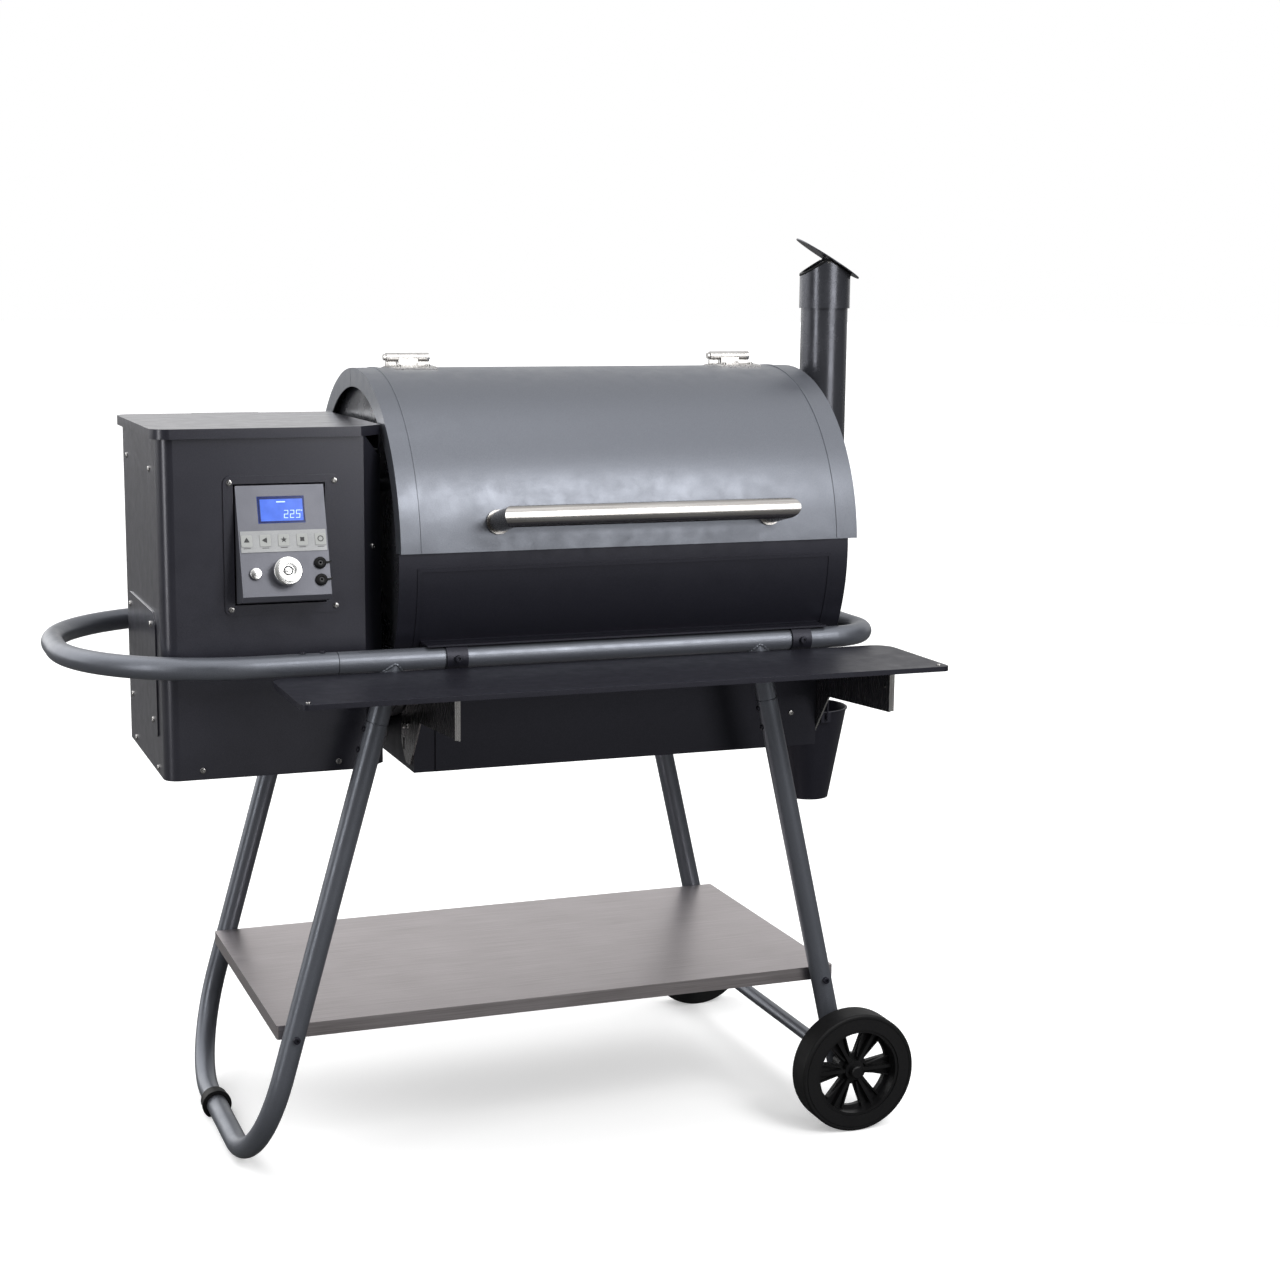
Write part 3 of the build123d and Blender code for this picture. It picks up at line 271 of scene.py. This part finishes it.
# The look of a node is its slot's, unless the photo shows another.
LOOKS = {"slate_paint": SLATE, "charcoal_paint": CHARCOAL, "black_powder_coat": BLACK, "stainless": STEEL_Z,
         "galvanised": ZINC, "grate_enamel": ENAMEL, "case_plastic": PLASTIC, "lcd_screen": SCREEN,
         "wheel_plastic": WHEEL, "tyre_rubber": TYRE}
# The left end cap takes the lighter charcoal paint in place of its black: a painted reflection, standing in
# for the light the black end cap catches from behind on the left.
OTHER_LOOKS = {"bottom_shelf": SHELF_STEEL, "lid_handle": STEEL, "control_case": FACE, "keypad": SILVER,
               "hopper_body": SATIN, "hopper_front": SATIN, "hopper_lid": SATIN, "hopper_cover": SATIN,
               "control_bezel": SATIN, "end_cap_left": CHARCOAL}
slots = {s["node"]: s["material_slot"] for s in frame["record"]["subparts"]}
for name, obj in nodes.items():
    obj.data.materials.clear()
    obj.data.materials.append(OTHER_LOOKS.get(name, LOOKS[slots[name]]))


# ------------------------------------------------------------------ mesh helpers
def placed(origin, normal, across=(1, 0, 0)):
    """Matrix of a local frame with z along normal and x as near to across as that allows."""
    z = Vector(normal).normalized()
    x = Vector(across) - z * z.dot(Vector(across))
    x.normalize()
    return Matrix.Translation(origin) @ Matrix((x, z.cross(x), z)).transposed().to_4x4()


def circle(r, count, start=0.0):
    """Corners of a regular polygon, or a circle, of radius r; start is in degrees."""
    angles = (math.radians(start + 360 * k / count) for k in range(count))
    return [(r * math.cos(a), r * math.sin(a)) for a in angles]


def layer(bm, place, outline, z):
    """New vertices along a local outline in mm, at height z."""
    return [bm.verts.new(place @ (Vector((x, y, z)) * MM)) for x, y in outline]


def sides(bm, lo, hi):
    """Faces between two closed rows of vertices."""
    for k in range(len(lo)):
        bm.faces.new((lo[k - 1], lo[k], hi[k], hi[k - 1]))


def lathe(bm, place, profile, steps=40):
    """Surface of revolution round the local z; profile is (radius, height) in mm."""
    rings = []
    for r, z in profile:
        if r == 0:
            rings.append([bm.verts.new(place @ Vector((0, 0, z * MM)))] * steps)
        else:
            rings.append(layer(bm, place, circle(r, steps), z))
    for lo, hi in zip(rings, rings[1:]):
        for k in range(steps):
            j = (k + 1) % steps
            # The axis point closes a ring, so its face keeps three corners.
            bm.faces.new(list(dict.fromkeys((lo[k], lo[j], hi[j], hi[k]))))


def prism(bm, place, outline, z0, z1):
    """Closed prism over a local outline in mm."""
    lo, hi = layer(bm, place, outline, z0), layer(bm, place, outline, z1)
    bm.faces.new(list(reversed(lo)))
    bm.faces.new(hi)
    sides(bm, lo, hi)


def rounded(x0, x1, y0, y1, r, steps=6):
    """Outline of a rectangle with round corners."""
    corners = ((x1 - r, y1 - r, 0), (x0 + r, y1 - r, 90), (x0 + r, y0 + r, 180), (x1 - r, y0 + r, 270))
    points = []
    for cx, cy, start in corners:
        for k in range(steps + 1):
            a = math.radians(start + 90 * k / steps)
            points.append((cx + r * math.cos(a), cy + r * math.sin(a)))
    return points


def piece(name, build, looks, body, place=None, sharp=35.0):
    """A new mesh piece that rides on a body; edges bent by more than sharp degrees stay crisp."""
    bm = bmesh.new()
    build(bm)
    bmesh.ops.recalc_face_normals(bm, faces=bm.faces)
    for f in bm.faces:
        f.smooth = True
    for e in bm.edges:
        e.smooth = len(e.link_faces) == 2 and e.calc_face_angle(0.0) < math.radians(sharp)
    mesh = bpy.data.meshes.new(name)
    bm.to_mesh(mesh)
    bm.free()
    for look in looks:
        mesh.materials.append(look)
    obj = bpy.data.objects.new(name, mesh)
    bpy.context.scene.collection.objects.link(obj)
    if place:
        obj.matrix_world = place
    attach(obj, body)
    return obj


# ------------------------------------------------------------------ rounded sheet edges
EDGE_ROUND, SHARP_EDGE = 0.6, 40.0


def soften(node):
    """Small bevel on the sharp edges of a CAD node, by modifiers only."""
    obj = nodes[node]
    obj.modifiers.new("join", "WELD").merge_threshold = 0.00001
    bevel = obj.modifiers.new("bevel", "BEVEL")
    bevel.width, bevel.segments, bevel.limit_method = EDGE_ROUND * MM, 2, "ANGLE"
    bevel.angle_limit = math.radians(SHARP_EDGE)
    bevel.use_clamp_overlap = True
    bevel.harden_normals = False
    even = obj.modifiers.new("even", "WEIGHTED_NORMAL")
    even.keep_sharp = False
    even.weight = 100


for node in ("hopper_lid", "front_board", "bottom_shelf"):
    soften(node)


# ------------------------------------------------------------------ screws with a recess
SMALL_SHANK, CAP_SHANK = (1.9, 4.0), (2.9, 6.0)  # radius and length
SOCKET_R, SOCKET_DEPTH = 2.6, 2.4
TALL_HEAD = 3.5  # heads above this height are cap screws


def screw_frames(node):
    """Place, head radius and head height of each screw in a node, found from its separate shells."""
    bm = bmesh.new()
    bm.from_mesh(nodes[node].data)
    bmesh.ops.remove_doubles(bm, verts=bm.verts, dist=1e-5)
    bm.verts.ensure_lookup_table()
    seen, found = set(), []
    for first in bm.verts:
        if first.index in seen:
            continue
        seen.add(first.index)
        shell, queue = [], [first]
        while queue:
            v = queue.pop()
            shell.append(v.co[:])
            for e in v.link_edges:
                w = e.other_vert(v)
                if w.index not in seen:
                    seen.add(w.index)
                    queue.append(w)
        co = np.array(shell)
        # A body of revolution has two equal spreads; its axis is the third one.
        spread, ways = np.linalg.eigh(np.cov((co - co.mean(0)).T))
        axis = ways[:, 0] if spread[1] - spread[0] > spread[2] - spread[1] else ways[:, 2]
        along = (co - co.mean(0)) @ axis
        radial = np.linalg.norm(co - co.mean(0) - np.outer(along, axis), axis=1)
        rim = radial > radial.max() - 0.0001
        # The shank's end is the point farthest from the head's rim, so it shows which way is out.
        from_rim = along - along[rim].mean()
        if from_rim[np.abs(from_rim).argmax()] > 0:
            axis, along = -axis, -along
        base, height = along[rim].min(), along.max() - along[rim].min()
        found.append((Vector(co.mean(0) + axis * base), Vector(axis), radial.max() / MM, height / MM))
    bm.free()
    return found


def recessed(bm, place, profile, steps, outline, h, depth, taper=1.0):
    """Lathed head whose flat top at height h has a recess of the given outline and depth."""
    lathe(bm, place, profile, steps)
    bm.verts.ensure_lookup_table()
    ring = list(bm.verts)[-steps:]
    rim = layer(bm, place, outline, h)
    low = layer(bm, place, [(taper * x, taper * y) for x, y in outline], h - depth)
    loops = [bm.edges.get((ring[k - 1], ring[k])) for k in range(steps)]
    loops += [bm.edges.new((rim[k - 1], rim[k])) for k in range(len(rim))]
    bmesh.ops.triangle_fill(bm, use_beauty=True, use_dissolve=False, edges=loops)
    sides(bm, rim, low)
    bm.faces.new(low)


def cross_head(bm, place, r, h):
    """Domed head with a cross recess, and the shank under it."""
    a, b = 0.15 * r, 0.52 * r
    cross = [(a, a), (a, b), (-a, b), (-a, a), (-b, a), (-b, -a),
             (-a, -a), (-a, -b), (a, -b), (a, -a), (b, -a), (b, a)]
    shank_r, shank = SMALL_SHANK
    dome = [(0, -shank), (shank_r, -shank), (shank_r, 0), (r, 0), (r, 0.3 * h), (0.95 * r, 0.62 * h),
            (0.83 * r, 0.88 * h), (0.64 * r, h)]
    recessed(bm, place, dome, 32, cross, h, 0.45 * h, 0.8)


def socket_head(bm, place, r, h):
    """Cap screw with a rounded top edge and a hexagon socket, and the shank under it."""
    shank_r, shank = CAP_SHANK
    cap = [(0, -shank), (shank_r, -shank), (shank_r, 0), (r, 0), (r, h - 0.7), (r - 0.25, h - 0.2),
           (r - 0.7, h)]
    recessed(bm, place, cap, 36, circle(SOCKET_R, 6), h, SOCKET_DEPTH)


def screws(node, look, body):
    """Recessed screws in place of a CAD node's plain ones, each turned a little differently."""
    def build(bm):
        for k, (base, axis, r, h) in enumerate(screw_frames(node)):
            head = socket_head if h > TALL_HEAD else cross_head
            head(bm, placed(base, axis, (1, 0.3 * (k % 5), 0.7)), r, h)

    obj = piece(node + "_detailed", build, [look], body, sharp=28.0)
    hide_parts(node)


screws("pan_screws", STEEL_Z, "grill")
screws("lid_screws", STEEL_Z, "lid")
screws("frame_screws", BLACK, "grill")


# ------------------------------------------------------------------ weld beads where the legs meet the rail
RAIL_Y, RAIL_Z, TUBE_R = 251.0, 736.5, 15.5
LEGS = ((-218.0, 0.281), (695.2, -0.229))  # x at the floor, and x gained per unit of height
BEAD_R, RIPPLE, RIPPLES = 1.9, 0.16, 22


def tube(bm, rings):
    """Faces of a closed loop of rings."""
    for k in range(len(rings)):
        for j in range(len(rings[k])):
            bm.faces.new((rings[k - 1][j - 1], rings[k][j - 1], rings[k][j], rings[k - 1][j]))


def weld(bm, x0, slope, y0, steps=160, around=10):
    """Rippled bead along the line where a leaning stub meets the rail from below."""
    down = Vector((-slope, 0, -1)).normalized()
    e1, e2 = Vector((-down.z, 0, down.x)), Vector((0, 1, 0))
    centre = Vector((x0 + slope * RAIL_Z, y0, RAIL_Z))
    r = TUBE_R - 0.3
    line = []
    for k in range(steps):
        a = 2 * math.pi * k / steps
        side = e1 * (r * math.cos(a)) + e2 * (r * math.sin(a))
        z = -math.sqrt(max(TUBE_R ** 2 - (r * math.sin(a)) ** 2, 0.0))
        line.append(centre + side + down * ((z - side.z) / down.z))
    rings = []
    for k, p in enumerate(line):
        along = (line[(k + 1) % steps] - line[k - 1]).normalized()
        out = Vector((0, p.y - y0, p.z - RAIL_Z)).normalized()
        out = (out - along * out.dot(along)).normalized()
        side = along.cross(out)
        size = BEAD_R * (1.0 + RIPPLE * math.sin(k * 2 * math.pi * RIPPLES / steps))
        ring = []
        for j in range(around):
            b = 2 * math.pi * j / around
            ring.append(bm.verts.new(at(*(p + (out * math.cos(b) + side * math.sin(b)) * size))))
        rings.append(ring)
    tube(bm, rings)


def welds(bm):
    for side in (-1, 1):
        for x0, slope in LEGS:
            weld(bm, x0, slope, side * RAIL_Y)


piece("weld_beads", welds, [SLATE], "grill", sharp=80.0)

# ------------------------------------------------------------------ dark strip in the tyre rubber look round the chimney collar, along its gable
CHIMNEY_X, CHIMNEY_Y, COLLAR_R = 751.0, 10.0, 39.0
RIDGE_Z, RIDGE_HALF, CAP_SLOPE, CAP_TURN = 1283.0, 3.2, math.radians(31.5), math.radians(-18.0)


def gable_dark_strip(bm, steps=144):
    """Thin strip round the collar, whose upper edge follows the gable."""
    cos, sin = math.cos(CAP_TURN), math.sin(CAP_TURN)
    rings = []
    for k in range(steps):
        a = 2 * math.pi * k / steps
        across = COLLAR_R * math.cos(a)
        edge = RIDGE_Z - max(abs(across), RIDGE_HALF) * math.tan(CAP_SLOPE)
        ring = []
        for out, up in ((0.05, -3.6), (0.7, -3.2), (0.9, -1.6), (0.6, 0.1), (0.05, 0.15)):
            x, y = (COLLAR_R + out) * math.cos(a), (COLLAR_R + out) * math.sin(a)
            place = at(CHIMNEY_X + x * cos - y * sin, CHIMNEY_Y + x * sin + y * cos, edge + up)
            ring.append(bm.verts.new(place))
        rings.append(ring)
    tube(bm, rings)


piece("gable_dark_strip", gable_dark_strip, [TYRE], "grill", sharp=70.0)

# ------------------------------------------------------------------ control panel
FACE_HIGH, FACE_DEEP = 143.0, 45.0
FACE_TOP_Y, FACE_TOP_Z = -191.0, 973.0
PANEL_X = -151.0  # the screen's and the dial's middle
SCREEN_DOWN, DIAL_DOWN = 33.5, 119.5
BUTTON_X, BUTTON_DOWN = -192.0, 120.0
JACK_X, JACKS_DOWN = -104.0, (108.0, 131.0)
FIRST_KEY_X, KEY_STEP, KEYS, PADS_DOWN, MARKS_DOWN = -201.0, 25.0, 5, 75.5, 75.0

TILT = math.atan2(FACE_HIGH, FACE_DEEP)
OUT = Vector((0, -math.sin(TILT), math.cos(TILT)))
RISE = Vector((0, math.cos(TILT), math.sin(TILT)))


def on_face(x, down):
    """Local frame on the sloped face: x along the grill, down from the face's top edge."""
    return placed(at(x, FACE_TOP_Y, FACE_TOP_Z) - RISE * (down * MM), OUT)


def box_outline(x0, x1, y0, y1):
    return [(x0, y0), (x1, y0), (x1, y1), (x0, y1)]


SEGMENTS = {"2": "abged", "5": "afgcd"}
DIGIT_W, DIGIT_H, DIGIT_STEP, SLANT = 5.6, 11.0, 8.2, 0.08
MARK_LOW, MARK_HIGH = 0.32, 0.42


def digit(bm, place, x, y, lit_segments):
    """Slanted seven-segment digit with its lower left corner at x, y."""
    w, h = DIGIT_W, DIGIT_H
    t = 0.16 * w
    bars = {"a": (0, h - t, w, h), "g": (0, (h - t) / 2, w, (h + t) / 2), "d": (0, 0, w, t),
            "b": (w - t, h / 2, w, h), "c": (w - t, 0, w, h / 2), "f": (0, h / 2, t, h), "e": (0, 0, t, h / 2)}
    for s in lit_segments:
        x0, y0, x1, y1 = bars[s]
        corners = box_outline(x0, x1, y0, y1)
        prism(bm, place, [(x + px + SLANT * py, y + py) for px, py in corners], MARK_LOW, MARK_HIGH)


def screen_rim(bm):
    """Dark border round the screen, wider above and on the left."""
    place = on_face(PANEL_X, SCREEN_DOWN)
    outer = rounded(-31.6, 31.6, -18.1, 18.1, 0.6, 2)
    inner = rounded(-28.4, 29.6, -15.6, 14.4, 0.6, 2)
    for k in range(len(outer)):
        prism(bm, place, [outer[k - 1], outer[k], inner[k], inner[k - 1]], 0.28, 0.62)


def screen_marks(bm):
    """A temperature with its degree ring, and a bar above it."""
    place = on_face(PANEL_X, SCREEN_DOWN)
    for k, d in enumerate("225"):
        digit(bm, place, 3.0 + DIGIT_STEP * k, -12.0, SEGMENTS[d])
    prism(bm, place, box_outline(-6, 6, 9.6, 11.2), MARK_LOW, MARK_HIGH)
    degree = place @ Matrix.Translation(Vector((27.4, -1.8, 0)) * MM)
    lathe(bm, degree, [(0.5, MARK_LOW), (0.9, MARK_LOW), (0.9, MARK_HIGH), (0.5, MARK_HIGH)], 16)


piece("lcd_rim", screen_rim, [SCREEN_RIM], "grill")
piece("lcd_marks", screen_marks, [DIGIT], "grill")


def star(count, outer, inner, turn=0.0):
    """Outline with count points, for the plain symbols on the keys; turn is in degrees."""
    points = []
    for k in range(2 * count):
        r, a = (outer, inner)[k % 2], math.radians(180 * k / count + turn)
        points.append((r * math.cos(a), r * math.sin(a)))
    return points


def key_pads(bm):
    for k in range(KEYS):
        place = on_face(FIRST_KEY_X + KEY_STEP * k, PADS_DOWN)
        prism(bm, place, rounded(-7.4, 7.4, -7.9, 7.9, 2.2), 1.38, 1.72)


def key_marks(bm):
    """A plain symbol on each pad, the last a ring, with a short bar under it."""
    z0, z1 = 1.7, 1.84
    shapes = (star(3, 4.4, 2.4, 90), star(3, 4.4, 2.4, 60), star(5, 4.4, 1.9, 90), star(4, 4.2, 2.6, 45), None)
    for k, shape in enumerate(shapes):
        place = on_face(FIRST_KEY_X + KEY_STEP * k, MARKS_DOWN)
        if shape:
            prism(bm, place, shape, z0, z1)
        else:
            lathe(bm, place, [(2.9, z0), (4.1, z0), (4.1, z1), (2.9, z1), (2.9, z0)], 32)
        prism(bm, place, box_outline(-4.6, 4.6, -10.9, -10.0), 0.88, 1.0)


piece("key_pads", key_pads, [PAD], "grill")
piece("key_marks", key_marks, [INK], "grill")


# The turned caps are built round their own axis, so their look's rings are centred too.
HERE = Matrix.Identity(4)


def dial_cap(bm):
    """Side and dished face of the dial, with a groove round its middle."""
    lathe(bm, HERE, [(19.2, 3.0), (19.2, 15.4), (18.7, 16.1), (17.9, 16.4), (8.2, 15.5), (8.0, 15.2),
                     (6.6, 15.2), (6.4, 15.5), (0, 15.6)], 96)


def dial_ring(bm):
    """Dark ring and three small marks printed on the dial's middle."""
    lathe(bm, HERE, [(4.6, 15.5), (4.7, 15.85), (6.3, 15.85), (6.5, 15.4)], 64)
    for turn, (x, y) in zip((90, 210, 330), circle(2.4, 3, 90)):
        mark = Matrix.Translation(Vector((x, y, 0)) * MM)
        prism(bm, mark, star(3, 1.3, 0.7, turn), 15.5, 15.8)


def button_cap(bm):
    lathe(bm, HERE, [(7.84, 1.0), (7.85, 4.4), (7.5, 4.9), (6.9, 5.1), (0, 5.2)], 64)


dial_place = on_face(PANEL_X, DIAL_DOWN)
piece("dial_cap", dial_cap, [TURNED], "dial", dial_place, sharp=50.0)
piece("dial_ring", dial_ring, [INK], "dial", dial_place)
piece("button_cap", button_cap, [TURNED], "power_button", on_face(BUTTON_X, BUTTON_DOWN),
      sharp=50.0)


def jack_covers(bm):
    """Rubber rings round the two jacks, each with its strap hanging to the right."""
    ring = [(3.0, 3.4), (3.3, 4.3), (4.6, 4.9), (6.6, 4.5), (7.9, 3.2), (8.2, 1.4), (8.0, 0.2), (3.0, 0.2),
            (3.0, 3.4)]
    strap = [(6.5, -1.3), (11.5, -0.6), (15.0, 0.4), (15.4, 2.4), (11.0, 1.6), (6.5, 1.3)]
    for down in JACKS_DOWN:
        place = on_face(JACK_X, down)
        lathe(bm, place, ring, 40)
        prism(bm, place, strap, 1.2, 2.8)


piece("jack_covers", jack_covers, [TYRE], "grill")


# ------------------------------------------------------------------ floor, room, light
FLOOR_GLOW = 0.3
LIGHT_DISTANCE = 4.0
LIT_POINT = (300, 0, 850)
# Name, azimuth to the right of the front, elevation (degrees), width, height (metres), watts.
SOFTBOXES = (("front_high", 20, 32, 1.4, 1.6, 72), ("front_low", 20, 7, 1.6, 1.1, 30),
             ("left", -63, 9, 0.9, 2.6, 38), ("top", 0, 80, 2.5, 2.0, 11))


def lay_floor():
    """White floor for the camera, which throws little light back up at the object."""
    mesh = bpy.data.meshes.new("floor")
    mesh.from_pydata([(-40, -40, 0), (40, -40, 0), (40, 60, 0), (-40, 60, 0)], [], [(0, 1, 2, 3)])
    floor = bpy.data.objects.new("floor", mesh)
    bpy.context.scene.collection.objects.link(floor)
    mat = bpy.data.materials.new("floor")
    mat.use_nodes = True
    t = mat.node_tree
    t.nodes.clear()
    seen = add(t, "ShaderNodeLightPath").outputs["Is Camera Ray"]
    pale = add(t, "ShaderNodeBsdfDiffuse", {"Color": (0.9, 0.9, 0.9, 1)}).outputs[0]
    glow = add(t, "ShaderNodeEmission", {"Color": (1, 1, 1, 1), "Strength": FLOOR_GLOW}).outputs[0]
    white = add(t, "ShaderNodeAddShader", {0: pale, 1: glow}).outputs[0]
    dim = add(t, "ShaderNodeBsdfDiffuse", {"Color": (0.12, 0.12, 0.12, 1)}).outputs[0]
    mixed = add(t, "ShaderNodeMixShader", {0: seen, 1: dim, 2: white}).outputs[0]
    t.links.new(mixed, t.nodes.new("ShaderNodeOutputMaterial").inputs[0])
    mesh.materials.append(mat)


def build_room():
    """World of a white wall behind the object, brighter to the left, and a ceiling in front."""
    world = bpy.data.worlds.new("studio")
    bpy.context.scene.world = world
    world.use_nodes = True
    t = world.node_tree
    sky = t.nodes["Background"]
    sky.inputs["Color"].default_value = (1, 1, 1, 1)
    way = add(t, "ShaderNodeSeparateXYZ", {0: add(t, "ShaderNodeTexCoord").outputs["Generated"]})
    x, y, z = way.outputs

    def calc(kind, a, b):
        return add(t, "ShaderNodeMath", {0: a, 1: b}, operation=kind).outputs[0]

    wall = calc("MULTIPLY", ramp(t, y, 0.05, 0.45), ramp(t, x, -0.25, 0.1, 2.5, 0.8))
    front_top = calc("MULTIPLY", ramp(t, z, 0.45, 0.75), ramp(t, y, 0.05, 0.45, 1.0, 0.0))
    room = calc("ADD", wall, calc("MULTIPLY", front_top, 1.4))
    seen = add(t, "ShaderNodeLightPath").outputs["Is Camera Ray"]
    t.links.new(calc("MAXIMUM", room, seen), sky.inputs["Strength"])


def softbox(name, azimuth, elevation, width, height, power):
    """Area light that faces the object."""
    light = bpy.data.lights.new(name, "AREA")
    light.shape, light.size, light.size_y, light.energy = "RECTANGLE", width, height, power
    obj = bpy.data.objects.new(name, light)
    bpy.context.scene.collection.objects.link(obj)
    a, e = math.radians(azimuth), math.radians(elevation)
    target = at(*LIT_POINT)
    way = Vector((math.sin(a) * math.cos(e), -math.cos(a) * math.cos(e), math.sin(e)))
    obj.location = target + way * LIGHT_DISTANCE
    obj.rotation_euler = (target - obj.location).to_track_quat("-Z", "Y").to_euler()


lay_floor()
build_room()
for row in SOFTBOXES:
    softbox(*row)

bpy.context.scene.view_settings.view_transform = "Standard"
